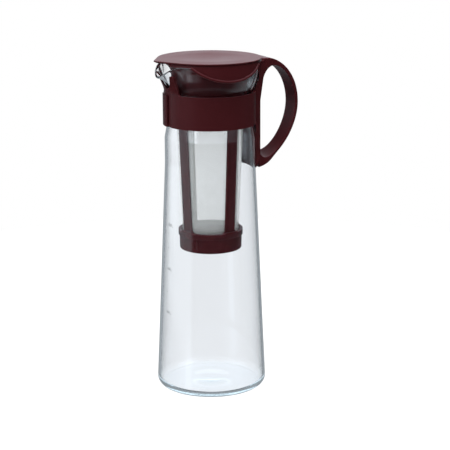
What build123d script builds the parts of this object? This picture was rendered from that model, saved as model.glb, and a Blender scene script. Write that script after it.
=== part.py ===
"""Cold brew coffee maker: glass jug, clip-on handle band, lid and a lift-out filter with a push-on base cap.

Millimetres, +Z up. The origin is the centre of the jug's rest face. The spout points along -X and the
handle along +X.
"""
import os
from math import acos, cos, degrees, pi, radians, sin, sqrt, tan

from build123d import *

# Glass jug
jug_height = 296.5          # rest face to the top of the rim
base_radius = 49.8          # outer wall, where its taper meets the rest face
base_corner = 6.8           # outer corner radius of the base
neck_radius = 40.4          # outer wall of the straight neck
neck_length = 35.0          # straight neck, from the taper up to the waist
taper_blend = 160.0         # radius that blends taper into neck
waist_depth = 2.2           # groove in the neck that holds the handle band
shoulder_drop = 12.0        # height of the rounded shoulder under the waist
shoulder_round = 9.0        # radius of the shoulder's convex corner
rim_radius = 43.3           # outer wall at the rim
flare_height = 25.3         # waist's top to the rim's top
glass_wall = 2.0
floor_thickness = 3.9
punt_height = 1.1           # rise of the inner floor's centre
punt_radius = 24.0
flare_pull_low = 3.0        # how long the wall leaves the waist upright
flare_pull_high = 17.0      # how long it comes upright into the rim
seam_step = 0.05            # the mouth's foot, inside both faces of the waist's wall
seam_rise = 0.5             # where the flare starts, above the waist's wall
seam_lap = 2.0              # how far the mouth's foot runs down from there into the wall

# Pouring spout, pulled out of the rim
spout_reach = 49.6          # axis to the tip's mid wall
spout_drop = 10.2           # how far the tip lies under the rim
spout_spread = 33.0         # degrees from the tip to the plain rim, each way
spout_fullness = 0.7        # under 1 the lip stays far out longer beside the tip
spout_dip = 1.5             # over 1 the lip's height falls later, nearer the tip
spout_tilt = 76.0           # degrees that the lip turns out of the upright at its tip
spout_pull_low = 8.0        # how long the tip's wall stays upright over the waist
spout_pull_high = 5.5       # how long it runs out into the lip
spout_sections = 7          # wall sections between the tip and the plain rim

# Handle band, one moulding with the loop
band_height = 29.2
band_wall = 2.2
glass_clearance = 0.35      # moulding to glass
band_slit = 0.6             # gap between the band's two ends, under the spout
clasp_proud = 1.0           # clasp pad, proud of the band
clasp_drop = 1.4            # pad's top under the band's
clasp_angle = 25.0          # degrees that the clasp pad covers
catch_angle = 9.0           # degrees that the recessed catch covers
catch_depth = 0.7
ear_height = 17.4           # ears beside the spout, above the band
ear_angle = 22.0            # degrees from the spout to an ear's outer edge
ear_wall = 1.7
ear_notch_height = 4.6      # where the slit opens into the notch
ear_notch_pull = (7.0, 1.5)  # how the notch leaves the slit, sideways and up
ear_tip_pull = (2.6, 4.0)   # how it runs up into the tip
ear_tip_width = 2.2
ear_splay = 1.6             # how much wider apart the tips stand than the ears' feet
ear_span = 29.0             # degrees from the spout that the ears' wall is drawn over
ear_corner = 2.0

# Handle spine and loop
spine_thickness = 4.45      # from the band's outer face to the spine's
spine_angle = 19.5          # degrees each side of the handle's middle plane
spine_drop = 41.4           # spine's lower end, under the band
spine_foot_edge = 0.5       # thickness of the spine's lower edge
spine_crown_edge = 2.0      # thickness of its upper edge
neck_clearance = 0.65       # spine to the glass neck
spine_lean = 9.6            # height over which the spine leans out to the rim
spine_rim_edge = 3.9        # thickness of the spine where it reaches the rim
lid_step_depth = 2.0        # how far under the skirt the spine steps out round the lid
loop_reach = 83.4           # axis to the outermost point of the loop
loop_rise = 14.6            # height of that point over the band's foot
loop_crown_rise = 2.2       # loop's top over the glass rim
loop_edge_round = 0.8
loop_width = 20.0
loop_bury = 3.2             # how deep the loop's root lies inside the spine
loop_crown_run = 6.0        # flat run of the loop's top, from its root
loop_crown_drop = 1.5       # spine's top under the loop's
root_width = 29.0           # width where the loop meets the spine
root_run = (1.0, 20.0)      # from the spine: where the loop starts to narrow, and where it is slim
grip_thickness = 2.6        # loop thickness at its outermost point
top_thickness = 7.6
foot_thickness = 8.7

# Handle loop, side view: how far each curve runs on along its end directions
crown_pull = 16.4           # where the crown starts to turn, inwards from the loop's outermost
apex_pull_up = 25.0
apex_pull_down = 25.5
foot_pull = (21.4, 4.4)     # the same at the foot, and how far up from it
opening_drop = 1.0          # finger opening's outermost point under the loop's
opening_roof = 26.0         # its highest point, inwards from the loop's outermost
opening_heel = 8.0          # its lowest point, outwards from the root
opening_ends = (15.0, 32.0)  # its root corners, up from the loop's foot and down from its top
roof_pull_in = 10.8
roof_pull_out = 9.9         # where the roof starts to turn, inwards from the grip
opening_pull_up = 17.0
opening_pull_down = 20.0
heel_pull_out = 14.8        # the same at the heel
heel_pull_in = 3.4
heel_slope = 0.17           # rise of the opening's lower edge through the heel
root_pull_up = (3.8, 12.0)
root_pull_down = (2.4, 5.5)

# Lid
lid_rise = 4.3              # lid's top over the glass rim
lid_overhang = 0.6          # plate past the skirt
lid_plate = 1.9
lid_edge = 0.9              # thickness left at the plate's edge
lid_edge_round = 0.35
bill_overhang = 3.1         # bill past the spout's tip
bill_tip_radius = 7.0
dish_radius = 33.0          # shallow dish in the lid's top
dish_depth = 0.9
rim_clearance = 0.6         # lid and handle to the glass rim
skirt_wall = 1.6
skirt_depth = 1.9           # skirt under the plate
skirt_open_angle = 15.0     # degrees each side of the spout left without skirt
pour_open_angle = 34.0      # degrees each side of the spout where lid and filter leave the rim free
tab_depth = 12.6            # grip tabs' lowest point under the glass rim
tab_slope = 0.9             # rise of a tab's lower edge per mm towards the middle plane
tab_bead = 1.15             # radius of the bead along a tab's lower edge
tab_bead_proud = 0.8
plug_clearance = 0.6        # plug to the filter's wall
plug_wall = 1.6
plug_depth = 10.0
seat_rib_width = 1.5        # rib that rests on the filter's flange
lid_seat_gap = 0.15

# Filter frame
frame_wall = 1.6
filter_gap = 2.7            # filter's wall, under the funnel, to the glass at the waist
frame_taper = 6.2           # how much narrower the wall is at the windows' sill
funnel_depth = 10.5         # under the glass rim, where the wall starts to flare
funnel_pull_low = 4.5       # how long the flare stays upright
funnel_pull_high = 4.5      # how long it runs level into the flange
flange_thickness = 1.2
flange_width = 1.5          # flat part of the flange
flange_overhang = 0.2       # flange past the glass rim's outer wall
flange_seat_gap = 0.15
flange_cut = 4.7            # how far inside the glass rim the flange is cut back over the spout
window_drop = 44.5          # windows' head under the glass rim
window_height = 105.5
window_corner = 3.0
rib_width = 10.5
rib_count = 4
rib_azimuth = 15.0          # degrees, first rib
ring_height = 5.0           # foot ring, under the windows' sill
ring_proud = 1.7            # ring past the ribs' feet
ring_lip = 1.1              # lip that stands up round the ribs' feet
ring_lip_wall = 0.8
spigot_step = 0.7           # spigot inside the ribs' feet
spigot_wall = 1.5
spigot_length = 9.9

# Filter mesh
mesh_thickness = 0.4
mesh_clearance = 0.25       # sleeve to the frame's inner wall
mesh_tuck = 3.5             # how far the sleeve runs on behind the window's ends

# Filter base cap
cap_height = 12.6
cap_wall = 1.43
cap_draft = 0.3             # how much narrower the cap is at its foot
cap_floor = 1.6
cap_fit = 0.07              # radial clearance on the spigot
cap_seat_gap = 0.1
cap_foot_round = 1.0
cap_slits = 4
cap_slit_azimuth = 39.0
cap_slit_width = 0.6
cap_slit_height = 9.0

# Heights and radii that follow
spout_azimuth = 180.0
band_top = jug_height - flare_height
band_bottom = band_top - band_height
neck_bottom = band_bottom - neck_length
waist_radius = neck_radius - waist_depth
band_inner = waist_radius + glass_clearance
band_outer = band_inner + band_wall
spine_radius = band_outer + spine_thickness
spine_bottom = band_bottom - spine_drop
loop_height = band_bottom + loop_rise
loop_top = jug_height + loop_crown_rise
lid_height = jug_height + lid_rise
lid_radius = rim_radius + rim_clearance + skirt_wall + lid_overhang
bill_reach = spout_reach + bill_overhang
tab_bottom = jug_height - tab_depth
funnel_bottom = jug_height - funnel_depth
frame_top_radius = waist_radius - glass_wall - filter_gap
frame_foot_radius = frame_top_radius - frame_taper
plug_radius = frame_top_radius - frame_wall - plug_clearance
flange_cut_radius = rim_radius - flange_cut
window_head = jug_height - window_drop
window_sill = window_head - window_height
ring_bottom = window_sill - ring_height
ring_radius = frame_foot_radius + ring_proud
spigot_radius = frame_foot_radius - spigot_step
cap_radius = spigot_radius + cap_fit + cap_wall
cap_bottom = ring_bottom - cap_seat_gap - cap_height


def radial_plane(azimuth):
    """Upright plane through the axis: local x runs outwards at this azimuth, local y runs up."""
    angle = radians(azimuth)
    return Plane(origin=(0, 0, 0), x_dir=(cos(angle), sin(angle), 0), z_dir=(sin(angle), -cos(angle), 0))


def spin(profile, start=0.0, sweep=360.0):
    """Solid of revolution of a face drawn in radius and height, from one azimuth through a sweep."""
    return Rot(0, 0, start) * revolve(radial_plane(0) * profile, Axis.Z, revolution_arc=sweep)


def closed(*edges):
    return make_face(Wire(list(edges)))


def disc_solid(radius, low, high):
    return Pos(0, 0, low) * extrude(Circle(radius), high - low)


# Glass jug ------------------------------------------------------------------------------------------

def jug_outline(inset, floor):
    """Outline from the axis at the floor up to the top of the waist, inset from the outer wall."""
    foot = base_radius - inset - floor * (base_radius - neck_radius) / neck_bottom
    path = FilletPolyline(
        (0, floor),
        (foot, floor),
        (neck_radius - inset, neck_bottom),
        (neck_radius - inset, band_bottom - shoulder_drop),
        (waist_radius - inset, band_bottom),
        (waist_radius - inset, band_top),
        radius=[base_corner - inset, taper_blend, shoulder_round - inset, shoulder_round / 2 + inset],
    )
    roof = Polyline((waist_radius - inset, band_top), (0, band_top), (0, floor))
    return closed(*path.edges(), *roof.edges())


def bulge(azimuth):
    """Share of the spout's full form at an azimuth: 1 at the tip, 0 on the plain rim."""
    off = abs(azimuth - spout_azimuth)
    return 0.5 * (1 + cos(pi * off / spout_spread)) if off < spout_spread else 0.0


def mouth_curve(azimuth, offset, foot_offset):
    """Curve from the waist to the rim, at a distance outside the outer wall at its end and its foot."""
    share = bulge(azimuth)
    push = share ** spout_fullness
    tilt = radians(90 - spout_tilt * share)
    out, up = cos(tilt), sin(tilt)
    half = glass_wall / 2
    mid_rim = rim_radius - half
    reach = mid_rim + (spout_reach - mid_rim) * push
    height = jug_height - half - (spout_drop - half) * share ** spout_dip
    side = half + offset
    end = (reach + side * up, height - side * out)
    pull = flare_pull_high + (spout_pull_high - flare_pull_high) * push
    rise = flare_pull_low + (spout_pull_low - flare_pull_low) * share
    start = (waist_radius + foot_offset, band_top + seam_rise)
    return Bezier(
        start,
        (start[0], start[1] + rise),
        (end[0] - pull * out, end[1] - pull * up),
        end,
    )


def mouth_section(azimuth):
    """Section of the glass wall above the waist, with its rounded rim."""
    outer = mouth_curve(azimuth, 0, -seam_step)
    inner = mouth_curve(azimuth, -glass_wall, seam_step - glass_wall)
    crest = (outer @ 1 + inner @ 1) / 2 + (outer % 1) * (glass_wall / 2)
    rim = ThreePointArc(outer @ 1, crest, inner @ 1)
    lap = Vector(0, -seam_lap)
    foot = Polyline(inner @ 0, (inner @ 0) + lap, (outer @ 0) + lap, outer @ 0)
    return closed(*foot.edges(), outer, rim, inner)


def mouth():
    """Flared mouth: a plain turned wall, and a lofted sector that holds the spout."""
    sector = spout_spread * (1 + 2 / spout_sections)
    plain = spin(mouth_section(0), spout_azimuth + sector, 360 - 2 * sector)
    steps = spout_sections + 2
    azimuths = [spout_azimuth + sector * step / steps for step in range(-steps, steps + 1)]
    pulled = loft([radial_plane(azimuth) * mouth_section(azimuth) for azimuth in azimuths])
    return plain + pulled


def glass_jug():
    body = spin(jug_outline(0, 0)) - spin(jug_outline(glass_wall, floor_thickness))
    punt = closed(
        Line((0, floor_thickness / 2), (punt_radius, floor_thickness / 2)),
        Line((punt_radius, floor_thickness / 2), (punt_radius, floor_thickness)),
        Bezier(
            (punt_radius, floor_thickness),
            (punt_radius * 0.6, floor_thickness),
            (punt_radius * 0.5, floor_thickness + punt_height),
            (0, floor_thickness + punt_height),
        ),
        Line((0, floor_thickness + punt_height), (0, floor_thickness / 2)),
    )
    return body + spin(punt) + mouth()


# Handle band ----------------------------------------------------------------------------------------

def band_ring():
    """Ring round the waist, slit under the spout, with a proud clasp pad and a recessed catch."""
    ring = disc_solid(band_outer, band_bottom, band_top) - disc_solid(band_inner, band_bottom, band_top)
    pad = spin(
        Pos((band_outer + band_inner + clasp_proud) / 2, (band_bottom + band_top - clasp_drop) / 2)
        * Rectangle(band_wall + clasp_proud, band_height - clasp_drop),
        spout_azimuth - clasp_angle,
        clasp_angle,
    )
    catch = spin(
        Pos(band_outer, (band_bottom + band_top) / 2) * Rectangle(2 * catch_depth, band_height),
        spout_azimuth,
        catch_angle,
    )
    slit = Pos(-band_outer, 0, (band_bottom + band_top) / 2) * Box(4 * band_wall, band_slit, band_height)
    return ring + pad - catch - slit


def ear_outline():
    """One ear, seen along the spout: beside the notch that clears it."""
    half = band_slit / 2
    side = band_outer * sin(radians(ear_angle))
    top = band_top + ear_height
    foot = band_top - band_wall
    notch = (half, band_top + ear_notch_height)
    tip = (side + ear_splay - ear_tip_width, top)
    outline = [
        Line((half, foot), notch),
        Bezier(notch, (notch[0] + ear_notch_pull[0], notch[1] + ear_notch_pull[1]),
               (tip[0] - ear_tip_pull[0], tip[1] - ear_tip_pull[1]), tip),
        *Polyline(
            tip,
            (side + ear_splay, top),
            (side, band_top),
            (side + ear_corner, band_top),
            (side + ear_corner, foot),
            (half, foot),
        ).edges(),
    ]
    shape = closed(*outline)
    inside = shape.vertices().sort_by(lambda v: abs(v.X - side) + abs(v.Y - band_top))[0]
    shape = fillet(inside, ear_corner * 0.9)
    outside = shape.vertices().sort_by(lambda v: abs(v.X - side - ear_splay) + abs(v.Y - top))[0]
    return fillet(outside, ear_tip_width / 2)


def ear_section(azimuth):
    """Section of the wall that hugs the glass beside the spout."""
    gap = glass_clearance + (band_wall - ear_wall) / 2
    near = mouth_curve(azimuth, gap, gap)
    far = mouth_curve(azimuth, gap + ear_wall, gap + ear_wall)
    lap = Vector(0, -seam_lap)
    foot = Polyline(near @ 0, (near @ 0) + lap, (far @ 0) + lap, far @ 0)
    return closed(*foot.edges(), near, Line(near @ 1, far @ 1), far)


def ears():
    """The band's two ears, cut from one wall that follows the flare under the spout."""
    azimuths = [spout_azimuth + ear_span * step / spout_sections
                for step in range(-spout_sections, spout_sections + 1)]
    wall = loft([radial_plane(azimuth) * ear_section(azimuth) for azimuth in azimuths])
    outline = Plane.YZ * ear_outline()
    ear = extrude(Pos(-2 * spout_reach, 0, 0) * outline, 2 * spout_reach)
    return wall & (ear + mirror(ear, Plane.XZ))


def glass_side():
    """Inner face of the handle in radius and height: on the band, clear of the glass and the lid."""
    neck = neck_radius + neck_clearance
    seat = band_inner + band_wall / 2
    rim = rim_radius + rim_clearance
    lid_side = lid_radius + rim_clearance
    lid_step = lid_height - lid_plate - skirt_depth - lid_step_depth
    return [
        (neck, spine_bottom),
        (neck, band_bottom),
        (seat, band_bottom),
        (seat, band_top),
        (rim, band_top + spine_lean),
        (rim, lid_step),
        (lid_side, lid_step + (lid_side - rim) / 2),
        (lid_side, loop_top - loop_crown_drop),
    ]


def spine():
    """Plate behind the loop: round the glass below the band, on the band, and up beside the flare."""
    inner = glass_side()
    top = inner[-1]
    outer = [
        (top[0] + spine_crown_edge, top[1]),
        (rim_radius + rim_clearance + spine_rim_edge, band_top + spine_lean),
        (spine_radius, band_top - spine_lean),
        (spine_radius, spine_bottom + foot_thickness),
        (inner[0][0] + spine_foot_edge, spine_bottom),
    ]
    return spin(make_face(Polyline(*inner, *outer, inner[0])), -spine_angle, 2 * spine_angle)


def loop_side():
    """Side view of the loop: its outer outline, less the finger opening."""
    root = spine_radius - loop_bury
    apex = (loop_reach, loop_height)
    crown = (root + loop_crown_run, loop_top)
    outer = [
        Line((root, loop_top), crown),
        Bezier(crown, (loop_reach - crown_pull, loop_top), (loop_reach, loop_height + apex_pull_up), apex),
        Bezier(apex, (loop_reach, loop_height - apex_pull_down),
               (loop_reach - foot_pull[0], spine_bottom + foot_pull[1]), (root, spine_bottom)),
        Line((root, spine_bottom), (root, loop_top)),
    ]
    grip = (loop_reach - grip_thickness, loop_height - opening_drop)
    roof = (loop_reach - opening_roof, loop_top - top_thickness)
    heel = (root + opening_heel, spine_bottom + foot_thickness)
    heel_run = grip[0] - heel_pull_out - heel[0]
    low, high = (root, spine_bottom + opening_ends[0]), (root, loop_top - opening_ends[1])
    inner = [
        Line(low, high),
        Bezier(high, (root + root_pull_up[0], high[1] + root_pull_up[1]), (roof[0] - roof_pull_in, roof[1]), roof),
        Bezier(roof, (grip[0] - roof_pull_out, roof[1]), (grip[0], grip[1] + opening_pull_up), grip),
        Bezier(grip, (grip[0], grip[1] - opening_pull_down),
               (heel[0] + heel_run, heel[1] + heel_slope * heel_run), heel),
        Bezier(heel, (heel[0] - heel_pull_in, heel[1] - heel_slope * heel_pull_in),
               (root + root_pull_down[0], low[1] - root_pull_down[1]), low),
    ]
    return closed(*outer) - closed(*inner)


def loop_plan():
    """Plan of the loop: wide at the spine, narrowing to the grip."""
    wide, slim = root_width / 2, loop_width / 2
    near, far = neck_radius, loop_reach + grip_thickness
    start, end = spine_radius + root_run[0], spine_radius + root_run[1]
    middle = (start + end) / 2
    half = [
        Line((near, 0), (near, wide)),
        Line((near, wide), (start, wide)),
        Bezier((start, wide), (middle, wide), (middle, slim), (end, slim)),
        Line((end, slim), (far, slim)),
        Line((far, slim), (far, 0)),
        Line((far, 0), (near, 0)),
    ]
    face = closed(*half)
    return face + mirror(face, Plane.XZ)


def loop():
    side = extrude(Plane.XZ * loop_side(), root_width, both=True)
    plan = Pos(0, 0, spine_bottom) * extrude(loop_plan(), loop_top - spine_bottom)
    body = side & plan
    long_edges = body.edges().filter_by(Axis.Z, reverse=True).filter_by(Axis.Y, reverse=True)
    corners = [edge for edge in long_edges
               if edge.center().X > spine_radius and abs(edge.center().Y) > loop_width / 4]
    inner = glass_side()
    low, high = spine_bottom - 1, loop_top + 1
    clear = make_face(Polyline(
        (0, low), (inner[0][0], low), *inner, (inner[-1][0], high), (0, high), (0, low)))
    return fillet(corners, loop_edge_round) - spin(clear)


def handle_band():
    return band_ring() + ears() + spine() + loop()


# Lid ------------------------------------------------------------------------------------------------

def lid_outline():
    """Round plate with a bill: two circles joined by their common tangents."""
    centre = bill_reach - bill_tip_radius
    lean = (lid_radius - bill_tip_radius) / centre
    side = sqrt(1 - lean ** 2)
    rear = (-lid_radius * lean, lid_radius * side)
    front = (-centre - bill_tip_radius * lean, bill_tip_radius * side)
    return closed(
        ThreePointArc((rear[0], -rear[1]), (lid_radius, 0), rear),
        Line(rear, front),
        ThreePointArc(front, (-bill_reach, 0), (front[0], -front[1])),
        Line((front[0], -front[1]), (rear[0], -rear[1])),
    )


def lid_plate_solid():
    """Flat plate with a bill over the spout, a thinned edge and a shallow dish."""
    plate = Pos(0, 0, lid_height - lid_plate) * extrude(lid_outline(), lid_plate)
    low_edges = plate.faces().sort_by(Axis.Z)[0].edges()
    plate = chamfer(low_edges, lid_plate - lid_edge, 2 * (lid_plate - lid_edge))
    plate = fillet(plate.faces().sort_by(Axis.Z)[-1].edges(), lid_edge_round)
    dish = closed(
        Bezier((0, lid_height - dish_depth), (dish_radius / 2, lid_height - dish_depth),
               (dish_radius * 0.8, lid_height), (dish_radius, lid_height)),
        Line((dish_radius, lid_height), (dish_radius, lid_height + 1)),
        Line((dish_radius, lid_height + 1), (0, lid_height + 1)),
        Line((0, lid_height + 1), (0, lid_height - dish_depth)),
    )
    return plate - spin(dish)


def spout_gap(half_angle, low, high):
    """Wedge over the spout, to be cut from what lies on the rim."""
    far = 2 * spout_reach
    side = far * tan(radians(half_angle))
    wedge = make_face(Polyline((0, 0), (-far, side), (-far, -side), (0, 0)))
    return Pos(0, 0, low) * extrude(wedge, high - low)


def grip_tabs():
    """Two crescents that hang outside the glass rim, each with a bead along its lower edge."""
    inner = rim_radius + rim_clearance
    outer = inner + skirt_wall
    plate_bottom = lid_height - lid_plate
    wall = disc_solid(outer, tab_bottom, plate_bottom) - disc_solid(inner, tab_bottom, plate_bottom)
    edge = tab_bottom + tab_bead
    keep = Plane.YZ * make_face(Polyline(
        (outer, edge),
        (outer - (plate_bottom - edge) / tab_slope, plate_bottom),
        (outer, plate_bottom),
        (outer, edge),
    ))
    side = wall & extrude(keep, outer, both=True)
    skirt_bottom = plate_bottom - skirt_depth
    bead_ring = outer + tab_bead_proud - tab_bead
    reach = degrees(acos((outer - (skirt_bottom - edge) / tab_slope) / bead_ring))
    tilt = sqrt(1 + tab_slope ** 2)
    slant = Plane(origin=(0, 0, edge + tab_slope * bead_ring), x_dir=(0, 1, -tab_slope),
                  z_dir=(0, tab_slope, 1))
    edge_line = slant * EllipticalCenterArc((0, 0), bead_ring * tilt, bead_ring, -reach, arc_size=2 * reach)
    path = ThreePointArc(edge_line @ 0, edge_line @ 0.5, edge_line @ 1)
    bead = sweep(Plane(path @ 0, z_dir=path % 0) * Circle(tab_bead), path)
    bead += Pos(path @ 0) * Sphere(tab_bead) + Pos(path @ 1) * Sphere(tab_bead)
    tab = side + bead
    return tab + mirror(tab, Plane.XZ)


def lid():
    plate_bottom = lid_height - lid_plate
    inner = rim_radius + rim_clearance
    skirt_bottom = plate_bottom - skirt_depth
    skirt = disc_solid(inner + skirt_wall, skirt_bottom, plate_bottom)
    skirt -= disc_solid(inner, skirt_bottom, plate_bottom)
    rib_bottom = jug_height + flange_seat_gap + flange_thickness + lid_seat_gap
    rib_outer = rim_radius + flange_overhang
    rib = disc_solid(rib_outer, rib_bottom, plate_bottom)
    rib -= disc_solid(rib_outer - seat_rib_width, rib_bottom, plate_bottom)
    skirt -= spout_gap(skirt_open_angle, skirt_bottom, plate_bottom)
    rib -= spout_gap(pour_open_angle, rib_bottom, plate_bottom)
    plug = disc_solid(plug_radius, plate_bottom - plug_depth, plate_bottom)
    plug -= disc_solid(plug_radius - plug_wall, plate_bottom - plug_depth, plate_bottom)
    return lid_plate_solid() + skirt + rib + plug + grip_tabs()


# Filter ---------------------------------------------------------------------------------------------

def frame_radius(height):
    """Outer radius of the filter's tapered wall."""
    share = (height - window_sill) / (funnel_bottom - window_sill)
    return frame_foot_radius + (frame_top_radius - frame_foot_radius) * share


def frame_turned():
    """Turned body of the frame: spigot, foot ring, tapered wall, funnel and flange."""
    flange_low = jug_height + flange_seat_gap
    flange_high = flange_low + flange_thickness
    flange_outer = rim_radius + flange_overhang
    flange_inner = flange_outer - flange_width
    spigot_bottom = ring_bottom - spigot_length
    ledge = window_sill - mesh_tuck - mesh_clearance
    under = [
        Line((spigot_radius - spigot_wall, spigot_bottom), (spigot_radius, spigot_bottom)),
        Line((spigot_radius, spigot_bottom), (spigot_radius, ring_bottom)),
        Line((spigot_radius, ring_bottom), (ring_radius, ring_bottom)),
        Line((ring_radius, ring_bottom), (ring_radius, window_sill + ring_lip)),
        Line((ring_radius, window_sill + ring_lip), (ring_radius - ring_lip_wall, window_sill + ring_lip)),
        Line((ring_radius - ring_lip_wall, window_sill + ring_lip), (ring_radius - ring_lip_wall, window_sill)),
        Line((ring_radius - ring_lip_wall, window_sill), (frame_foot_radius, window_sill)),
        Line((frame_foot_radius, window_sill), (frame_top_radius, funnel_bottom)),
        Bezier((frame_top_radius, funnel_bottom), (frame_top_radius, funnel_bottom + funnel_pull_low),
               (flange_inner - funnel_pull_high, flange_low), (flange_inner, flange_low)),
        Line((flange_inner, flange_low), (flange_outer, flange_low)),
        Line((flange_outer, flange_low), (flange_outer, flange_high)),
        Line((flange_outer, flange_high), (flange_inner, flange_high)),
        Bezier((flange_inner, flange_high), (flange_inner - funnel_pull_high, flange_high),
               (frame_top_radius - frame_wall, funnel_bottom + funnel_pull_low),
               (frame_top_radius - frame_wall, funnel_bottom)),
        Line((frame_top_radius - frame_wall, funnel_bottom), (frame_radius(ledge) - frame_wall, ledge)),
        Line((frame_radius(ledge) - frame_wall, ledge), (spigot_radius - spigot_wall, ledge)),
        Line((spigot_radius - spigot_wall, ledge), (spigot_radius - spigot_wall, spigot_bottom)),
    ]
    return spin(closed(*under))


def frame_window():
    """Cutter between two ribs, with its sides parallel to the ribs and rounded corners."""
    size = 2 * ring_radius
    cutter = Pos(rib_width / 2, rib_width / 2, window_sill) * Box(
        size, size, window_head - window_sill, align=(Align.MIN, Align.MIN, Align.MIN))
    flat = cutter.edges().filter_by(GeomType.LINE).filter_by(Axis.Z, reverse=True)
    corners = [edge for edge in flat if min(edge.center().X, edge.center().Y) < rib_width / 2 + 0.01]
    return fillet(corners, window_corner)


def filter_frame():
    body = frame_turned()
    step = 360 / rib_count
    for index in range(rib_count):
        body -= Rot(0, 0, rib_azimuth + index * step) * frame_window()
    cut = spout_gap(pour_open_angle, funnel_bottom, lid_height)
    cut -= disc_solid(flange_cut_radius, funnel_bottom, lid_height)
    return body - cut


def filter_mesh():
    """Woven sleeve behind the windows, gripped by the frame above and below them."""
    low, high = window_sill - mesh_tuck, window_head + mesh_tuck
    inset = frame_wall + mesh_clearance
    profile = make_face(Polyline(
        (frame_radius(low) - inset, low),
        (frame_radius(high) - inset, high),
        (frame_radius(high) - inset - mesh_thickness, high),
        (frame_radius(low) - inset - mesh_thickness, low),
        (frame_radius(low) - inset, low),
    ))
    return spin(profile)


def filter_base_cap():
    """Cup that pushes on the spigot; slits let its wall spring over it."""
    top = ring_bottom - cap_seat_gap
    inner = spigot_radius + cap_fit
    floor_top = cap_bottom + cap_floor
    profile = make_face(Polyline(
        (0, cap_bottom),
        (cap_radius - cap_draft, cap_bottom),
        (cap_radius, top),
        (inner, top),
        (inner, floor_top),
        (0, floor_top),
        (0, cap_bottom),
    ))
    foot = profile.vertices().sort_by(lambda v: abs(v.X - cap_radius + cap_draft) + abs(v.Y - cap_bottom))[0]
    cup = spin(fillet(foot, cap_foot_round))
    for index in range(cap_slits):
        slit = Pos(cap_radius, 0, top - cap_slit_height / 2) * Box(
            4 * (cap_radius - inner), cap_slit_width, cap_slit_height)
        cup -= Rot(0, 0, cap_slit_azimuth + index * 360 / cap_slits) * slit
    return cup


if __name__ == "__main__":
    os.makedirs("parts", exist_ok=True)
    pieces = {
        "glass_jug": glass_jug(),
        "handle_band": handle_band(),
        "lid": lid(),
        "filter_frame": filter_frame(),
        "filter_mesh": filter_mesh(),
        "filter_base_cap": filter_base_cap(),
    }
    for node, solid in pieces.items():
        print(node, len(solid.solids()), round(solid.volume), solid.is_valid)
        export_step(solid, f"parts/{node}.step")
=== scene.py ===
import math

import bmesh
import bpy
from mathutils import Matrix, Vector
from mathutils.geometry import interpolate_bezier


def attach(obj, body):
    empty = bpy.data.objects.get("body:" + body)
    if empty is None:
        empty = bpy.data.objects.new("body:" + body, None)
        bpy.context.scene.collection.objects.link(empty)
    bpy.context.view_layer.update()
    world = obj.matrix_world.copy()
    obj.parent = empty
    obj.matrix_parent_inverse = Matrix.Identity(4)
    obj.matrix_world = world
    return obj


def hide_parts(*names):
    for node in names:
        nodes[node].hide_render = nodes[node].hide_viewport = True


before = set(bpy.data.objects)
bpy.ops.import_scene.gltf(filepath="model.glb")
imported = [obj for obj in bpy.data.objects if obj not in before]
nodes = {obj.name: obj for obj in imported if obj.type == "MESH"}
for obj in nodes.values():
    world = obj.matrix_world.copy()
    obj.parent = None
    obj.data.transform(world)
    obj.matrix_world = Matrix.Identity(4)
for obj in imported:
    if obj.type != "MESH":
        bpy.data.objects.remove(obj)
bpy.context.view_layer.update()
scene = bpy.context.scene
scene.view_settings.view_transform = "Standard"
print("frame loaded:", ", ".join(sorted(nodes)))


def newObject(name, mesh, material=None):
    made = bpy.data.objects.new(name, mesh)
    scene.collection.objects.link(made)
    if material:
        mesh.materials.clear()
        mesh.materials.append(material)
    return made


def smoothByAngle(mesh, degrees):
    mesh.polygons.foreach_set("use_smooth", [True] * len(mesh.polygons))
    mesh.set_sharp_from_angle(angle=math.radians(degrees))
    mesh.update()


def evaluatedMesh(made):
    bpy.context.view_layer.update()
    graph = bpy.context.evaluated_depsgraph_get()
    return bpy.data.meshes.new_from_object(made.evaluated_get(graph))


def newMaterial(name):
    material = bpy.data.materials.new(name)
    material.use_nodes = True
    tree = material.node_tree
    tree.nodes.clear()
    output = tree.nodes.new("ShaderNodeOutputMaterial")
    shader = tree.nodes.new("ShaderNodeBsdfPrincipled")
    tree.links.new(shader.outputs["BSDF"], output.inputs["Surface"])
    return material, tree, shader, output


def newGroup(name, inputs, outputs):
    group = bpy.data.node_groups.new(name, "ShaderNodeTree")
    for label, kind, value in inputs:
        socket = group.interface.new_socket(label, in_out="INPUT", socket_type=kind)
        socket.default_value = value
    for label, kind in outputs:
        group.interface.new_socket(label, in_out="OUTPUT", socket_type=kind)
    return group, group.nodes.new("NodeGroupInput"), group.nodes.new("NodeGroupOutput")


def addMath(tree, operation, first, second=None, clamp=False):
    node = tree.nodes.new("ShaderNodeMath")
    node.operation = operation
    node.use_clamp = clamp
    for socket, value in zip(node.inputs, (first, second)):
        if value is None:
            continue
        if isinstance(value, (int, float)):
            socket.default_value = value
        else:
            tree.links.new(value, socket)
    return node.outputs[0]


def addRamp(tree, value, fromLow, fromHigh, toLow, toHigh):
    # smooth step between two levels
    node = tree.nodes.new("ShaderNodeMapRange")
    node.interpolation_type = "SMOOTHSTEP"
    tree.links.new(value, node.inputs["Value"])
    limits = {"From Min": fromLow, "From Max": fromHigh, "To Min": toLow, "To Max": toHigh}
    for label, number in limits.items():
        node.inputs[label].default_value = number
    return node.outputs["Result"]


def placeGroup(tree, group, **values):
    node = tree.nodes.new("ShaderNodeGroup")
    node.node_tree = group
    for label, value in values.items():
        socket = node.inputs[label]
        if hasattr(value, "is_output"):
            tree.links.new(value, socket)
        else:
            socket.default_value = value
    return node


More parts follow.
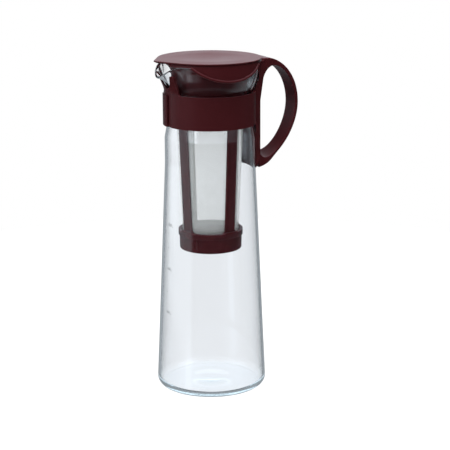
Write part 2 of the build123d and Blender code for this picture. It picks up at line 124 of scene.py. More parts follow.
def mixColour(tree, factor, first, second):
    node = tree.nodes.new("ShaderNodeMix")
    node.data_type = "RGBA"
    tree.links.new(factor, node.inputs[0])
    for socket, value in ((node.inputs[6], first), (node.inputs[7], second)):
        if hasattr(value, "is_output"):
            tree.links.new(value, socket)
        else:
            socket.default_value = value
    return node.outputs[2]


def addBump(tree, height, strength, distance):
    node = tree.nodes.new("ShaderNodeBump")
    node.inputs["Strength"].default_value = strength
    node.inputs["Distance"].default_value = distance
    tree.links.new(height, node.inputs["Height"])
    return node


def addClearing(tree, shader, output, share, colour):
    # a share of the rays passes straight on
    clear = tree.nodes.new("ShaderNodeBsdfTransparent")
    clear.inputs["Color"].default_value = colour
    mix = tree.nodes.new("ShaderNodeMixShader")
    tree.links.new(share, mix.inputs["Fac"])
    tree.links.new(shader.outputs["BSDF"], mix.inputs[1])
    tree.links.new(clear.outputs["BSDF"], mix.inputs[2])
    tree.links.new(mix.outputs["Shader"], output.inputs["Surface"])


wearGain = 6.0               # lifts the slight bend of a bevelled corner to a full mask


def buildEdgeWearAndHighlight():
    # mask of the corners that hands and washing rub, also used to paint a highlight along the edges: bevelled
    # normal against the real one
    group, source, target = newGroup(
        "edgeWearAndHighlight",
        [("Radius", "NodeSocketFloat", 0.0006), ("Amount", "NodeSocketFloat", 0.5),
         ("Scale", "NodeSocketFloat", 300.0)],
        [("Mask", "NodeSocketFloat"), ("Normal", "NodeSocketVector")],
    )
    links = group.links
    bevel = group.nodes.new("ShaderNodeBevel")
    bevel.samples = 4
    links.new(source.outputs["Radius"], bevel.inputs["Radius"])
    surface = group.nodes.new("ShaderNodeNewGeometry")
    alike = group.nodes.new("ShaderNodeVectorMath")
    alike.operation = "DOT_PRODUCT"
    links.new(bevel.outputs["Normal"], alike.inputs[0])
    links.new(surface.outputs["Normal"], alike.inputs[1])
    bend = addMath(group, "SUBTRACT", 1.0, alike.outputs["Value"], clamp=True)
    patches = group.nodes.new("ShaderNodeTexNoise")
    place = group.nodes.new("ShaderNodeTexCoord")
    links.new(place.outputs["Object"], patches.inputs["Vector"])
    links.new(source.outputs["Scale"], patches.inputs["Scale"])
    wornAndHighlit = addMath(group, "MULTIPLY", bend, patches.outputs["Fac"])
    wornAndHighlit = addMath(group, "MULTIPLY", wornAndHighlit, wearGain)
    wornAndHighlit = addMath(group, "MULTIPLY", wornAndHighlit, source.outputs["Amount"], clamp=True)
    links.new(wornAndHighlit, target.inputs["Mask"])
    links.new(bevel.outputs["Normal"], target.inputs["Normal"])
    return group


def buildMouldGrain():
    # fine spark-eroded grain of a moulding, with a slow mottle in its gloss
    group, source, target = newGroup(
        "mouldGrain",
        [("Grain Scale", "NodeSocketFloat", 4200.0), ("Mottle Scale", "NodeSocketFloat", 45.0)],
        [("Height", "NodeSocketFloat"), ("Mottle", "NodeSocketFloat")],
    )
    links = group.links
    place = group.nodes.new("ShaderNodeTexCoord")
    grain = group.nodes.new("ShaderNodeTexNoise")
    grain.inputs["Detail"].default_value = 3.0
    links.new(place.outputs["Object"], grain.inputs["Vector"])
    links.new(source.outputs["Grain Scale"], grain.inputs["Scale"])
    slow = group.nodes.new("ShaderNodeTexNoise")
    slow.inputs["Detail"].default_value = 4.0
    links.new(place.outputs["Object"], slow.inputs["Vector"])
    links.new(source.outputs["Mottle Scale"], slow.inputs["Scale"])
    links.new(grain.outputs["Fac"], target.inputs["Height"])
    links.new(slow.outputs["Fac"], target.inputs["Mottle"])
    return group


def buildRoundWeave():
    # plain weave round the upright axis: rings at a pitch, crossed by a number of uprights
    group, source, target = newGroup(
        "roundWeave",
        [("Pitch", "NodeSocketFloat", 0.0005), ("Uprights", "NodeSocketFloat", 360.0)],
        [("Cover", "NodeSocketFloat"), ("Height", "NodeSocketFloat")],
    )
    links = group.links
    place = group.nodes.new("ShaderNodeTexCoord")
    split = group.nodes.new("ShaderNodeSeparateXYZ")
    links.new(place.outputs["Object"], split.inputs[0])
    angle = addMath(group, "ARCTAN2", split.outputs["Y"], split.outputs["X"])
    # a cosine without its sign peaks twice a turn, so it turns half as often as there are uprights
    across = addMath(group, "MULTIPLY", angle, addMath(group, "MULTIPLY", source.outputs["Uprights"], 0.5))
    rows = addMath(group, "DIVIDE", split.outputs["Z"], source.outputs["Pitch"])
    upwards = addMath(group, "MULTIPLY", rows, math.pi)
    upright = addMath(group, "ABSOLUTE", addMath(group, "COSINE", across))
    ring = addMath(group, "ABSOLUTE", addMath(group, "COSINE", upwards))
    over = addMath(group, "MULTIPLY", addMath(group, "SINE", across), addMath(group, "SINE", upwards))
    cover = addMath(group, "MAXIMUM", upright, ring)
    links.new(cover, target.inputs["Cover"])
    links.new(addMath(group, "ADD", cover, over), target.inputs["Height"])
    return group


edgeWearAndHighlight = buildEdgeWearAndHighlight()
mouldGrain = buildMouldGrain()
roundWeave = buildRoundWeave()

brownFinish = {
    "colour": (0.036, 0.0048, 0.0060, 1.0),
    "paler": (0.042, 0.0063, 0.0080, 1.0),
    # paler edge colour: partly wear, partly a painted highlight along the edges and the bead
    "wornAndHighlit": (0.20, 0.075, 0.085, 1.0),
    "gloss": (0.32, 0.40),          # roughness, least and most
    "shine": 0.10,
    "sheen": (0.93, 0.90, 1.0, 1.0),
    "grainHeight": 0.00004,
    "grainStrength": 0.35,
    "edgeRadius": 0.0005,
    "wearAndHighlight": 0.5,
}


def makeBrownPlastic():
    material, tree, shader = newMaterial("brownPlastic")[:3]
    wearAndHighlight = placeGroup(tree, edgeWearAndHighlight, Radius=brownFinish["edgeRadius"], Amount=brownFinish["wearAndHighlight"])
    grain = placeGroup(tree, mouldGrain)
    tone = mixColour(tree, grain.outputs["Mottle"], brownFinish["colour"], brownFinish["paler"])
    # edges turned paler: partly wear, partly painted highlight
    tone = mixColour(tree, wearAndHighlight.outputs["Mask"], tone, brownFinish["wornAndHighlit"])
    tree.links.new(tone, shader.inputs["Base Color"])
    span = tree.nodes.new("ShaderNodeMapRange")
    span.inputs["To Min"].default_value, span.inputs["To Max"].default_value = brownFinish["gloss"]
    tree.links.new(grain.outputs["Mottle"], span.inputs["Value"])
    tree.links.new(span.outputs["Result"], shader.inputs["Roughness"])
    bump = addBump(tree, grain.outputs["Height"], brownFinish["grainStrength"], brownFinish["grainHeight"])
    tree.links.new(wearAndHighlight.outputs["Normal"], bump.inputs["Normal"])
    tree.links.new(bump.outputs["Normal"], shader.inputs["Normal"])
    shader.inputs["Specular IOR Level"].default_value = brownFinish["shine"]
    shader.inputs["Specular Tint"].default_value = brownFinish["sheen"]
    return material


glassFinish = {
    "tint": (0.965, 0.980, 1.0, 1.0),
    "edgeTint": (0.58, 0.67, 0.70, 1.0),   # what long paths through the wall lose
    "density": 14.0,
    "index": 1.48,           # of refraction
    "smudge": 0.02,          # roughness where a smudge is strongest
    "smudgeFrom": 0.52,      # mottle at which a smudge begins
    "smudgeScale": 26.0,
    "deepest": 2.5,          # rays reflected more often than this go straight on
    "straight": (0.99, 0.995, 1.0, 1.0),   # what a face leaves of the rays that go straight on
}


def makeGlass():
    material, tree, shader, output = newMaterial("clearGlass")
    shader.inputs["Base Color"].default_value = glassFinish["tint"]
    shader.inputs["Transmission Weight"].default_value = 1.0
    shader.inputs["IOR"].default_value = glassFinish["index"]
    grain = placeGroup(tree, mouldGrain, **{"Mottle Scale": glassFinish["smudgeScale"]})
    smudge = addMath(tree, "SUBTRACT", grain.outputs["Mottle"], glassFinish["smudgeFrom"], clamp=True)
    smudge = addMath(tree, "MULTIPLY", smudge, glassFinish["smudge"] / (1 - glassFinish["smudgeFrom"]))
    tree.links.new(smudge, shader.inputs["Roughness"])
    # shadow and diffuse rays go straight on, so that what stands inside is lit
    rays = tree.nodes.new("ShaderNodeLightPath")
    lost = addMath(tree, "GREATER_THAN", rays.outputs["Glossy Depth"], glassFinish["deepest"])
    straight = addMath(tree, "MAXIMUM", rays.outputs["Is Shadow Ray"], lost)
    straight = addMath(tree, "MAXIMUM", straight, rays.outputs["Is Diffuse Ray"])
    addClearing(tree, shader, output, straight, glassFinish["straight"])
    depth = tree.nodes.new("ShaderNodeVolumeAbsorption")
    depth.inputs["Color"].default_value = glassFinish["edgeTint"]
    depth.inputs["Density"].default_value = glassFinish["density"]
    tree.links.new(depth.outputs["Volume"], output.inputs["Volume"])
    return material


meshFinish = {
    "colour": (0.80, 0.82, 0.80, 1.0),
    "gap": (0.74, 0.77, 0.76, 1.0),
    "pitch": 0.0005,         # between thread centres
    "uprights": 360,
    "open": 0.13,            # how much a gap between threads covers, on each face of the cloth
    "close": 0.27,           # how much a thread covers
    "threadEdge": (0.55, 0.9),     # where a gap ends and a thread is full
    "threadHeight": 0.00012,
    "threadStrength": 0.3,
    "gloss": 0.5,
    "shine": 0.3,
}


def makeMeshCloth():
    material, tree, shader = newMaterial("wovenMesh")[:3]
    weave = placeGroup(tree, roundWeave, Pitch=meshFinish["pitch"], Uprights=float(meshFinish["uprights"]))
    tone = mixColour(tree, weave.outputs["Cover"], meshFinish["gap"], meshFinish["colour"])
    tree.links.new(tone, shader.inputs["Base Color"])
    covers = meshFinish["open"], meshFinish["close"]
    cover = addRamp(tree, weave.outputs["Cover"], *meshFinish["threadEdge"], *covers)
    tree.links.new(cover, shader.inputs["Alpha"])
    bump = addBump(tree, weave.outputs["Height"], meshFinish["threadStrength"], meshFinish["threadHeight"])
    tree.links.new(bump.outputs["Normal"], shader.inputs["Normal"])
    shader.inputs["Roughness"].default_value = meshFinish["gloss"]
    shader.inputs["Specular IOR Level"].default_value = meshFinish["shine"]
    return material


printFinish = {
    "colour": (0.07, 0.075, 0.08, 1.0),
    "wornAway": (0.16, 0.17, 0.18, 1.0),
    "wearScale": 900.0,
    "gloss": 0.6,
}


def makePrint():
    material, tree, shader = newMaterial("greyPrint")[:3]
    grain = placeGroup(tree, mouldGrain, **{"Mottle Scale": printFinish["wearScale"]})
    tone = mixColour(tree, grain.outputs["Mottle"], printFinish["colour"], printFinish["wornAway"])
    tree.links.new(tone, shader.inputs["Base Color"])
    shader.inputs["Roughness"].default_value = printFinish["gloss"]
    return material


brownPlastic = makeBrownPlastic()
clearGlass = makeGlass()
meshCloth = makeMeshCloth()
greyPrint = makePrint()
print("finishes made")

# metres and degrees; heights from the rest face, radii of the outer wall
jug = {
    "height": 0.2965,
    "wall": 0.002,
    "floor": 0.0039,
    "baseRadius": 0.0498,
    "baseCorner": 0.0068,
    "neckRadius": 0.0404,
    "neckBottom": 0.207,
    "taperBlend": 0.160,     # radius of the bend from the taper into the neck
    "shoulderBottom": 0.230,
    "shoulderRound": 0.009,
    "waistRadius": 0.0382,
    "waistBottom": 0.242,
    "waistTop": 0.2717,
    "rimRadius": 0.0433,
    "puntRadius": 0.024,     # raised middle of the inner floor
    "puntHeight": 0.0011,
    "puntPull": (0.6, 0.5),  # radii of its curve's handles at foot and crest, as shares of its own
    "puntSteps": 12,
    "brace": 0.0015,         # rings this far from each bend keep the straight walls straight
    "sides": 288,
    "arcSteps": 8,
    "curveSteps": 18,
}

spout = {
    "azimuth": 180.0,
    "reach": 0.0496,         # axis to the tip's mid wall
    "drop": 0.0102,          # tip under the rim
    "spread": 33.0,          # from the tip to the plain rim, each way
    "fullness": 0.7,         # power of the share by which the lip stands out
    "dip": 1.5,              # power of the share by which it drops
    "tilt": 76.0,            # degrees from upright that the wall leans outwards at the tip
    "pullLow": (0.003, 0.008),     # curve's handle at the waist: plain wall, tip
    "pullHigh": (0.017, 0.0055),   # and at the lip
}


def roundedPath(points, radii):
    # line through the points, its inner corners turned into tangent arcs
    path = [Vector(points[0])]
    for before, corner, after, radius in zip(points, points[1:], points[2:], radii):
        corner = Vector(corner)
        back, on = (Vector(before) - corner).normalized(), (Vector(after) - corner).normalized()
        half = back.angle(on) / 2
        centre = corner + (back + on).normalized() * radius / math.sin(half)
        start = corner + back * radius / math.tan(half) - centre
        end = corner + on * radius / math.tan(half) - centre
        turns = [step / jug["arcSteps"] for step in range(jug["arcSteps"] + 1)]
        path += [centre + start.slerp(end, turn) * radius for turn in turns]
    return path + [Vector(points[-1])]


def braced(path):
    # long runs get a ring close to each end
    full = [path[0]]
    for start, end in zip(path, path[1:]):
        run = end - start
        if run.length > 4 * jug["brace"]:
            step = run.normalized() * jug["brace"]
            full += [start + step, end - step]
        full.append(end)
    return full


def taperRadius(height):
    # outer radius of the tapered body
    return jug["baseRadius"] - height * (jug["baseRadius"] - jug["neckRadius"]) / jug["neckBottom"]


def bodyWall(inset, floor):
    # radius and height along one face of the wall, from the axis to the top of the waist
    foot = taperRadius(floor) - inset
    neck, waist = jug["neckRadius"] - inset, jug["waistRadius"] - inset
    points = [(0, floor), (foot, floor), (neck, jug["neckBottom"]), (neck, jug["shoulderBottom"]),
              (waist, jug["waistBottom"]), (waist, jug["waistTop"])]
    radii = [jug["baseCorner"] - inset, jug["taperBlend"], jug["shoulderRound"] - inset,
             jug["shoulderRound"] / 2 + inset]
    return braced(roundedPath(points, radii))


def mouthWall(azimuth):
    # radius and height over the waist: up the outer face, round the rim and down the inner face
    off = abs((azimuth - spout["azimuth"] + 180) % 360 - 180)
    share = 0.5 * (1 + math.cos(math.pi * off / spout["spread"])) if off < spout["spread"] else 0.0
    push = share ** spout["fullness"]
    tilt = math.radians(90 - spout["tilt"] * share)
    ahead = Vector((math.cos(tilt), math.sin(tilt)))
    side = Vector((ahead.y, -ahead.x))
    half = jug["wall"] / 2
    midRim = jug["rimRadius"] - half
    crest = Vector((midRim + (spout["reach"] - midRim) * push,
                    jug["height"] - half - (spout["drop"] - half) * share ** spout["dip"]))
    low = spout["pullLow"][0] + (spout["pullLow"][1] - spout["pullLow"][0]) * share
    high = spout["pullHigh"][0] + (spout["pullHigh"][1] - spout["pullHigh"][0]) * push
    faces = []
    for sign in (1, -1):
        start = Vector((jug["waistRadius"] - half + sign * half, jug["waistTop"]))
        end = crest + side * sign * half
        handles = start + Vector((0, low)), end - ahead * high
        faces.append(interpolate_bezier(start, *handles, end, jug["curveSteps"]))
    turns = [math.pi * step / jug["arcSteps"] for step in range(1, jug["arcSteps"])]
    rim = [crest + (side * math.cos(turn) + ahead * math.sin(turn)) * half for turn in turns]
    return faces[0][1:] + rim + faces[1][:0:-1]


def puntCurve():
    # inner floor, from the foot of its wall to the axis
    level, crest = jug["floor"], jug["floor"] + jug["puntHeight"]
    footPull, crestPull = (jug["puntRadius"] * share for share in jug["puntPull"])
    points = (jug["puntRadius"], level), (footPull, level), (crestPull, crest), (0, crest)
    return interpolate_bezier(*(Vector(point) for point in points), jug["puntSteps"])


def makeJug():
    outer = bodyWall(0, 0)[1:]
    inner = [point for point in bodyWall(jug["wall"], jug["floor"])[::-1] if point.x > jug["puntRadius"]]
    inner += puntCurve()[:-1]
    made = bmesh.new()
    footPole, floorPole = made.verts.new((0, 0, 0)), made.verts.new((0, 0, jug["floor"] + jug["puntHeight"]))
    rings = []
    for index in range(jug["sides"]):
        azimuth = 360 * index / jug["sides"]
        out = Vector((math.cos(math.radians(azimuth)), math.sin(math.radians(azimuth)), 0))
        section = outer + mouthWall(azimuth) + inner
        rings.append([made.verts.new(out * point.x + Vector((0, 0, point.y))) for point in section])
    for here, there in zip(rings, rings[1:] + rings[:1]):
        made.faces.new((footPole, there[0], here[0]))
        made.faces.new((floorPole, here[-1], there[-1]))
        for step in range(len(here) - 1):
            made.faces.new((here[step], there[step], there[step + 1], here[step + 1]))
    mesh = bpy.data.meshes.new("glassJug")
    made.to_mesh(mesh)
    made.free()
    mesh.polygons.foreach_set("use_smooth", [True] * len(mesh.polygons))
    jugPiece = newObject("glassJug", mesh, clearGlass)
    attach(jugPiece, "jug")
    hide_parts("glass_jug")
    print("jug: faces", len(mesh.polygons))


graduation = {               # measuring marks on the glass, on the side of the spout
    "first": 0.0734,
    "step": 0.0200,
    "azimuth": -167.1,       # of the numbered ticks
    "halfAcross": -0.0060,   # half-way ticks stand this far along the wall
    "tickWidth": 0.0011,
    "tickHeight": 0.0006,
    "tickColumns": 5,        # vertices across a tick, so that it follows the wall
    "digitSize": 0.0036,
    "digitGap": 0.0005,
    "digitRise": 0.0011,
    "lift": 0.00003,         # print thickness off the glass
    "numbers": ("400", "600", "800"),
}


def onWall(across, height, lift):
    # point on the glass, a distance along its circumference from the marks' middle line
    radius = taperRadius(height) + lift
    angle = math.radians(graduation["azimuth"]) + across / radius
    return Vector((radius * math.cos(angle), radius * math.sin(angle), height))


def newTree(name, inputs):
    # geometry tree with named inputs, given as label and kind
    tree = bpy.data.node_groups.new(name, "GeometryNodeTree")
    for label, kind in inputs:
        tree.interface.new_socket(label, in_out="INPUT", socket_type="NodeSocket" + kind)
    tree.interface.new_socket("Geometry", in_out="OUTPUT", socket_type="NodeSocketGeometry")
    return tree, tree.nodes.new("NodeGroupInput"), tree.nodes.new("NodeGroupOutput")


def endTree(tree, geometry, source, target):
    # instances made real, then painted
    real = tree.nodes.new("GeometryNodeRealizeInstances")
    tree.links.new(geometry, real.inputs["Geometry"])
    paint = tree.nodes.new("GeometryNodeSetMaterial")
    tree.links.new(real.outputs["Geometry"], paint.inputs["Geometry"])
    tree.links.new(source.outputs["Material"], paint.inputs["Material"])
    tree.links.new(paint.outputs["Geometry"], target.inputs["Geometry"])
    return tree


def buildTickTree():
    # flat bars one above another, given across and up in the plane of the print
    tree, source, target = newTree("tickRow", (
        ("Count", "Int"), ("First", "Float"), ("Step", "Float"), ("Across", "Float"), ("Width", "Float"),
        ("Height", "Float"), ("Material", "Material")))
    links = tree.links
    row = tree.nodes.new("GeometryNodeMeshLine")
    start = tree.nodes.new("ShaderNodeCombineXYZ")
    offset = tree.nodes.new("ShaderNodeCombineXYZ")
    links.new(source.outputs["Across"], start.inputs["X"])
    links.new(source.outputs["First"], start.inputs["Y"])
    links.new(source.outputs["Step"], offset.inputs["Y"])
    links.new(source.outputs["Count"], row.inputs["Count"])
    links.new(start.outputs[0], row.inputs["Start Location"])
    links.new(offset.outputs[0], row.inputs["Offset"])
    bar = tree.nodes.new("GeometryNodeMeshGrid")
    bar.inputs["Vertices X"].default_value = graduation["tickColumns"]
    bar.inputs["Vertices Y"].default_value = 2
    links.new(source.outputs["Width"], bar.inputs["Size X"])
    links.new(source.outputs["Height"], bar.inputs["Size Y"])
    copies = tree.nodes.new("GeometryNodeInstanceOnPoints")
    links.new(row.outputs["Mesh"], copies.inputs["Points"])
    links.new(bar.outputs["Mesh"], copies.inputs["Instance"])
    return endTree(tree, copies.outputs["Instances"], source, target)


def grownFromTree(name, tree, **values):
    # runs a geometry tree on an empty mesh and keeps the result as a plain mesh
    made = newObject(name, bpy.data.meshes.new(name))
    modifier = made.modifiers.new("grow", "NODES")
    modifier.node_group = tree
    for item in tree.interface.items_tree:
        if item.item_type == "SOCKET" and item.in_out == "INPUT" and item.name in values:
            modifier[item.identifier] = values[item.name]
    plain = evaluatedMesh(made)
    made.modifiers.clear()
    made.data = plain
    plain.materials.clear()
    plain.materials.append(values["Material"])
    plain.polygons.foreach_set("material_index", [0] * len(plain.polygons))
    return made


def makeGraduation():
    ticks = {"Step": 2 * graduation["step"], "Width": graduation["tickWidth"],
             "Height": graduation["tickHeight"], "Material": greyPrint}
    tree = buildTickTree()
    count = len(graduation["numbers"])
    marks = grownFromTree("graduation", tree, Count=count, First=graduation["first"], Across=0.0, **ticks)
    halves = grownFromTree("halfTicks", tree, Count=count - 1, First=graduation["first"] + graduation["step"],
                           Across=graduation["halfAcross"], **ticks)
    joined = bmesh.new()
    joined.from_mesh(marks.data)
    joined.from_mesh(halves.data)
    bpy.data.objects.remove(halves)
    for index, words in enumerate(graduation["numbers"]):
        curve = bpy.data.curves.new("digit", "FONT")
        curve.body = words
        curve.size = graduation["digitSize"]
        curve.align_x = "RIGHT"
        curve.align_y = "CENTER"
        digit = bpy.data.objects.new("digit", curve)
        scene.collection.objects.link(digit)
        flat = evaluatedMesh(digit)
        left = -graduation["tickWidth"] / 2 - graduation["digitGap"]
        up = graduation["first"] + 2 * index * graduation["step"] + graduation["digitRise"]
        flat.transform(Matrix.Translation((left, up, 0)))
        joined.from_mesh(flat)
        bpy.data.objects.remove(digit)
    for vertex in joined.verts:
        vertex.co = onWall(vertex.co.x, vertex.co.y, graduation["lift"])
    for piece in joined.faces:
        piece.normal_update()
        out = piece.calc_center_median()
        if piece.normal.dot(Vector((out.x, out.y, 0))) < 0:
            piece.normal_flip()
    joined.to_mesh(marks.data)
    joined.free()
    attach(marks, "jug")


makeJug()
makeGraduation()
print("jug finished")

moulding = {
    "sharpAngle": 32.0,
    "mergeWithin": 2e-6,     # corners nearer to each other than this are one vertex
    "normalWeight": 80,      # over 50, large faces count for more in a corner's normal
}


def makeMoulding(name, node, body):
    # merged, smooth-shaded copy of a solid, with its flat faces kept flat
    mesh = nodes[node].data.copy()
    joined = bmesh.new()
    joined.from_mesh(mesh)
    bmesh.ops.remove_doubles(joined, verts=joined.verts, dist=moulding["mergeWithin"])
    joined.to_mesh(mesh)
    joined.free()
    made = newObject(name, mesh, brownPlastic)
    smoothByAngle(mesh, moulding["sharpAngle"])
    weighted = made.modifiers.new("weightedNormals", "WEIGHTED_NORMAL")
    weighted.keep_sharp = True
    weighted.weight = moulding["normalWeight"]
    plain = evaluatedMesh(made)
    made.modifiers.clear()
    made.data = plain
    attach(made, body)
    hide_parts(node)


makeMoulding("handleBand", "handle_band", "jug")
makeMoulding("lidMoulding", "lid", "lid")
print("handle and lid finished")

makeMoulding("filterFrame", "filter_frame", "filter")
makeMoulding("filterBaseCap", "filter_base_cap", "base_cap")

sleeve = {
    "thickness": 0.0003,
    "sides": 144,
    "endBand": 0.001,        # from the solid's ends, where its radii are read
    "sharpAngle": 40.0,
}


def buildSleeveTree():
    # thin slightly conical sleeve: its slim section carried round a ring
    tree, source, target = newTree("roundSleeve", (
        ("Foot Radius", "Float"), ("Head Radius", "Float"), ("Foot Height", "Float"),
        ("Head Height", "Float"), ("Thickness", "Float"), ("Sides", "Int"), ("Material", "Material")))
    links = tree.links
    ring = tree.nodes.new("GeometryNodeCurvePrimitiveCircle")
    links.new(source.outputs["Foot Radius"], ring.inputs["Radius"])
    links.new(source.outputs["Sides"], ring.inputs["Resolution"])
    section = tree.nodes.new("GeometryNodeCurvePrimitiveQuadrilateral")
    section.mode = "POINTS"
    # on a ring a section's X points outwards and its Y down
    foot = addMath(tree, "MULTIPLY", source.outputs["Foot Height"], -1.0)
    head = addMath(tree, "MULTIPLY", source.outputs["Head Height"], -1.0)
    lean = addMath(tree, "SUBTRACT", source.outputs["Head Radius"], source.outputs["Foot Radius"])
    footInner = addMath(tree, "MULTIPLY", source.outputs["Thickness"], -1.0)
    headInner = addMath(tree, "SUBTRACT", lean, source.outputs["Thickness"])
    corners = (None, foot), (footInner, foot), (headInner, head), (lean, head)
    for index, (outwards, down) in enumerate(corners, 1):
        point = tree.nodes.new("ShaderNodeCombineXYZ")
        if outwards:
            links.new(outwards, point.inputs["X"])
        links.new(down, point.inputs["Y"])
        links.new(point.outputs[0], section.inputs["Point %d" % index])
    wall = tree.nodes.new("GeometryNodeCurveToMesh")
    links.new(ring.outputs["Curve"], wall.inputs["Curve"])
    links.new(section.outputs["Curve"], wall.inputs["Profile Curve"])
    return endTree(tree, wall.outputs["Mesh"], source, target)


def makeSleeve():
    points = [v.co for v in nodes["filter_mesh"].data.vertices]
    foot, head = min(p.z for p in points), max(p.z for p in points)
    footRadius = max(math.hypot(p.x, p.y) for p in points if p.z < foot + sleeve["endBand"])
    headRadius = max(math.hypot(p.x, p.y) for p in points if p.z > head - sleeve["endBand"])
    made = grownFromTree("filterSleeve", buildSleeveTree(), **{
        "Foot Radius": footRadius, "Head Radius": headRadius, "Foot Height": foot, "Head Height": head,
        "Thickness": sleeve["thickness"], "Sides": sleeve["sides"], "Material": meshCloth})
    joined = bmesh.new()
    joined.from_mesh(made.data)
    bmesh.ops.recalc_face_normals(joined, faces=joined.faces)
    joined.to_mesh(made.data)
    joined.free()
    smoothByAngle(made.data, sleeve["sharpAngle"])
    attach(made, "filter")
    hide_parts("filter_mesh")
    reach = max(math.hypot(v.co.x, v.co.y) for v in made.data.vertices)
    print("sleeve: faces", len(made.data.polygons), "reach", round(reach, 5), "of", round(headRadius, 5))


makeSleeve()
print("filter finished")

viewpoint = {                # camera on the object's axis plane, then turned about the upright axis
    "distance": 1.301684,
    "height": 0.480858,
    "pitch": 0.250,          # radians below the horizon
    "yaw": 0.010,
    "roll": -0.004,
    "turn": 25.0,            # degrees that the handle is turned from the picture's right
    "focal": 1486.22,        # pixels on a frame of frameWidth
    "frameWidth": 450,
}

stage = {
    "floorRadius": 0.62,
    "floorSides": 96,
    "floorDrop": 0.0004,     # under the rest face, so that the glass and the floor are two surfaces
    "floorColour": (0.90, 0.90, 0.90, 1.0),
    "floorPaler": (0.909, 0.909, 0.909, 1.0),
    "floorMottle": 3.0,
    "floorGloss": 0.9,
    "floorLift": 0.66,       # of the level it shows to the camera, the part that no shadow takes away
    "backLevel": 1.0,        # behind the object, straight on and through its glass
    "worldLight": 0.53,      # light on plain surfaces
    "roomColour": (0.86, 0.94, 1.0, 1.0),
    "roomGloss": 0.03,       # what gloss shows where no panel stands
    "brightest": 10.0,       # the most that gloss shows
    "brightestInGlass": 2.4,       # the same for a ray that has been through glass
    "deepGlass": 0.42,       # the least in glass for a ray reflected twice
}

# what gloss shows: azimuth, 0 towards the camera and minus on its left, and height of the ray's tip,
# each as the two ends of a soft border before and after; then the level
panels = {
    "left": ((-126, -112, -50, -41), (-0.27, -0.23, 0.80, 0.95), 0.75),
    "leftHigh": ((-135, -125, -95, -84), (-0.22, -0.18, 0.20, 0.50), 0.6),
    "rim": ((-85, -70, -40, -28), (0.10, 0.16, 0.30, 0.45), 3.0),
    "leftLow": ((-90, -60, -36, -14), (-0.56, -0.40, -0.27, -0.23), 0.40),
    "leftLine": ((-62, -54, -48, -40), (-0.50, -0.38, -0.27, -0.23), 0.75),
    "foot": ((-110, -90, 120, 130), (-0.82, -0.76, -0.72, -0.64), 0.15),
    "right": ((40, 110, 128, 142), (-2.0, -1.9, 0.20, 0.50), 0.06),
    "rightLow": ((50, 105, 128, 142), (-2.0, -1.9, -0.42, -0.28), 0.35),
    "top": ((-200, -190, 190, 200), (0.62, 0.88, 1.9, 2.0), 5.5),
}
backdrop = (                 # behind the object, by azimuth either way
    ((140, 150, 190, 200), (-2.0, -1.9, -0.02, 0.04), 0.35),
    ((150, 162, 190, 200), (-0.02, 0.06, 0.26, 0.38), 1.6),
)
# where rays through glass see the backdrop, and how much darker they see the room at its sides
openView = ((112, 138, 190, 200), (-2.0, -1.9, 0.75, 0.95), 0.40)
glassPanels = (              # the least that a reflection in glass shows, by azimuth either way
    ((60, 95, 190, 200), (-0.60, -0.45, -0.02, 0.02), 0.2),
    ((-2, -1, 190, 200), (0.00, 0.20, 1.9, 2.0), 1.2),
)


def addRayKinds(tree):
    # masks of the rays that see a place straight, through glass or in gloss; no other ray sees the room
    rays = tree.nodes.new("ShaderNodeLightPath")
    glossy, transmitted = rays.outputs["Is Glossy Ray"], rays.outputs["Is Transmission Ray"]
    bent = addMath(tree, "ADD", glossy, transmitted, clamp=True)
    bent = addMath(tree, "MULTIPLY", bent, addMath(tree, "LESS_THAN", rays.outputs["Diffuse Depth"], 0.5))
    gloss = addMath(tree, "MULTIPLY", bent, addMath(tree, "GREATER_THAN", rays.outputs["Glossy Depth"], 0.5))
    through = addMath(tree, "SUBTRACT", bent, gloss, clamp=True)
    return rays.outputs["Is Camera Ray"], through, gloss


def makeFloor():
    made = bmesh.new()
    bmesh.ops.create_circle(made, cap_ends=True, segments=stage["floorSides"], radius=stage["floorRadius"])
    mesh = bpy.data.meshes.new("floor")
    made.to_mesh(mesh)
    made.free()
    material, tree, shader, output = newMaterial("paleFloor")
    straight, through, gloss = addRayKinds(tree)
    grain = placeGroup(tree, mouldGrain, **{"Mottle Scale": stage["floorMottle"]})
    lit = mixColour(tree, grain.outputs["Mottle"], stage["floorColour"], stage["floorPaler"])
    lift = addMath(tree, "MULTIPLY", straight, stage["floorLift"])
    tree.links.new(mixColour(tree, lift, lit, (0, 0, 0, 1)), shader.inputs["Base Color"])
    shader.inputs["Emission Color"].default_value = (1, 1, 1, 1)
    tree.links.new(lift, shader.inputs["Emission Strength"])
    shader.inputs["Roughness"].default_value = stage["floorGloss"]
    shader.inputs["Specular IOR Level"].default_value = 0.0
    # glass and gloss show the backdrop where the floor lies
    addClearing(tree, shader, output, addMath(tree, "ADD", through, gloss, clamp=True), (1, 1, 1, 1))
    floor = newObject("floor", mesh, material)
    floor.location = (0, 0, -stage["floorDrop"])


def addPanel(tree, azimuth, height, panel):
    # level inside a window of azimuths and heights with soft borders, nothing outside
    level = None
    for value, (start, full, last, end) in zip((azimuth, height), panel):
        inside = addMath(tree, "MULTIPLY", addRamp(tree, value, start, full, 0.0, 1.0),
                         addRamp(tree, value, last, end, 1.0, 0.0))
        level = addMath(tree, "MULTIPLY", inside, level) if level else inside
    return addMath(tree, "MULTIPLY", level, panel[2])


def addDirection(tree):
    # azimuth in degrees, 0 towards the camera, and height of the tip, of the way that a ray leaves
    place = tree.nodes.new("ShaderNodeTexCoord")
    turned = tree.nodes.new("ShaderNodeVectorRotate")
    turned.rotation_type = "Z_AXIS"
    turned.inputs["Angle"].default_value = math.radians(90 + viewpoint["turn"])
    tree.links.new(place.outputs["Generated"], turned.inputs["Vector"])
    split = tree.nodes.new("ShaderNodeSeparateXYZ")
    tree.links.new(turned.outputs["Vector"], split.inputs[0])
    azimuth = addMath(tree, "ARCTAN2", split.outputs["Y"], split.outputs["X"])
    return addMath(tree, "MULTIPLY", azimuth, 180 / math.pi), split.outputs["Z"]


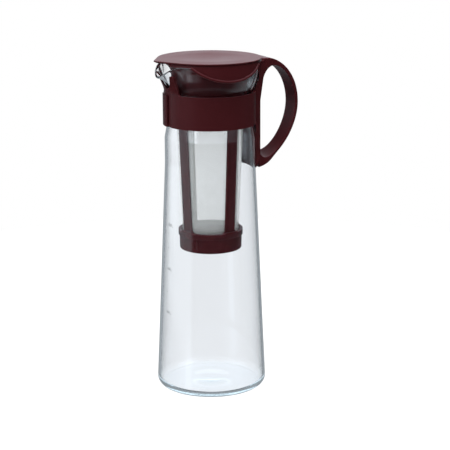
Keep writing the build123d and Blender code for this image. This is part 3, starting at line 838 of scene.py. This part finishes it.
def addRoom(tree, azimuth, turn, height):
    # level that gloss shows: the sum of the panels, held over a least and under a most
    room = 0.0
    for panel in backdrop:
        room = addMath(tree, "ADD", room, addPanel(tree, turn, height, panel))
    for panel in panels.values():
        room = addMath(tree, "ADD", room, addPanel(tree, azimuth, height, panel))
    room = addMath(tree, "MAXIMUM", room, stage["roomGloss"])
    rays = tree.nodes.new("ShaderNodeLightPath")
    inGlass = addMath(tree, "GREATER_THAN", rays.outputs["Transmission Depth"], 0.5)
    twice = addMath(tree, "GREATER_THAN", rays.outputs["Glossy Depth"], 1.5)
    least = addMath(tree, "MULTIPLY", twice, stage["deepGlass"])
    for panel in glassPanels:
        least = addMath(tree, "MAXIMUM", least, addPanel(tree, turn, height, panel))
    room = addMath(tree, "MAXIMUM", room, addMath(tree, "MULTIPLY", least, inGlass))
    most = addRamp(tree, inGlass, 0.0, 1.0, stage["brightest"], stage["brightestInGlass"])
    return addMath(tree, "MINIMUM", room, most)


def makeWorld():
    world = bpy.data.worlds.new("studio")
    scene.world = world
    world.use_nodes = True
    tree = world.node_tree
    tree.nodes.clear()
    output = tree.nodes.new("ShaderNodeOutputWorld")
    light = tree.nodes.new("ShaderNodeBackground")
    azimuth, height = addDirection(tree)
    turn = addMath(tree, "ABSOLUTE", azimuth)
    straight, through, gloss = addRayKinds(tree)
    # what each kind of ray sees, over the plain light
    plain = stage["worldLight"]
    behind = stage["backLevel"] - plain
    clear = addMath(tree, "ADD", addPanel(tree, turn, height, openView), behind - openView[2])
    shine = addMath(tree, "SUBTRACT", addRoom(tree, azimuth, turn, height), plain)
    level = addMath(tree, "MULTIPLY", straight, behind)
    for kind, change in ((through, clear), (gloss, shine)):
        level = addMath(tree, "ADD", level, addMath(tree, "MULTIPLY", kind, change))
    tree.links.new(addMath(tree, "ADD", level, plain), light.inputs["Strength"])
    tree.links.new(mixColour(tree, gloss, (1, 1, 1, 1), stage["roomColour"]), light.inputs["Color"])
    tree.links.new(light.outputs["Background"], output.inputs["Surface"])


# place, aim, width, height, watts
lamps = {
    "sidePanel": ((-0.95, -0.02, 0.42), (0, 0, 0.20), 0.62, 1.0, 2.4),
    "overhead": ((-0.06, -0.10, 1.20), (0, 0, 0.25), 0.6, 0.6, 22.0),
    "front": ((-0.75, -1.05, 0.30), (0, 0, 0.16), 0.8, 0.8, 1.2),
}


def makeLamps():
    for name, (place, aim, width, height, watts) in lamps.items():
        light = bpy.data.lights.new(name, "AREA")
        light.shape = "RECTANGLE"
        light.size, light.size_y = width, height
        light.energy = watts
        lamp = bpy.data.objects.new(name, light)
        scene.collection.objects.link(lamp)
        lamp.location = place
        lamp.rotation_euler = (Vector(aim) - Vector(place)).to_track_quat("-Z", "Y").to_euler()
        lamp.visible_camera = False
        lamp.visible_transmission = False
        lamp.visible_glossy = False


def makeCamera():
    data = bpy.data.cameras.new("camera")
    data.sensor_width = 36.0
    data.sensor_fit = "HORIZONTAL"
    data.lens = viewpoint["focal"] * data.sensor_width / viewpoint["frameWidth"]
    camera = bpy.data.objects.new("camera", data)
    scene.collection.objects.link(camera)
    scene.camera = camera
    yaw, pitch, roll = viewpoint["yaw"], viewpoint["pitch"], viewpoint["roll"]
    ahead = Vector((math.sin(yaw) * math.cos(pitch), math.cos(yaw) * math.cos(pitch), -math.sin(pitch)))
    right = Vector((math.cos(yaw), -math.sin(yaw), 0))
    up = right.cross(ahead)
    rolledRight = right * math.cos(roll) + up * math.sin(roll)
    rolledUp = up * math.cos(roll) - right * math.sin(roll)
    view = Matrix((rolledRight, rolledUp, -ahead)).transposed().to_4x4()
    view.translation = Vector((0, -viewpoint["distance"], viewpoint["height"]))
    camera.matrix_world = Matrix.Rotation(-math.radians(viewpoint["turn"]), 4, "Z") @ view


makeCamera()
makeFloor()
makeWorld()
makeLamps()
print("stage set")
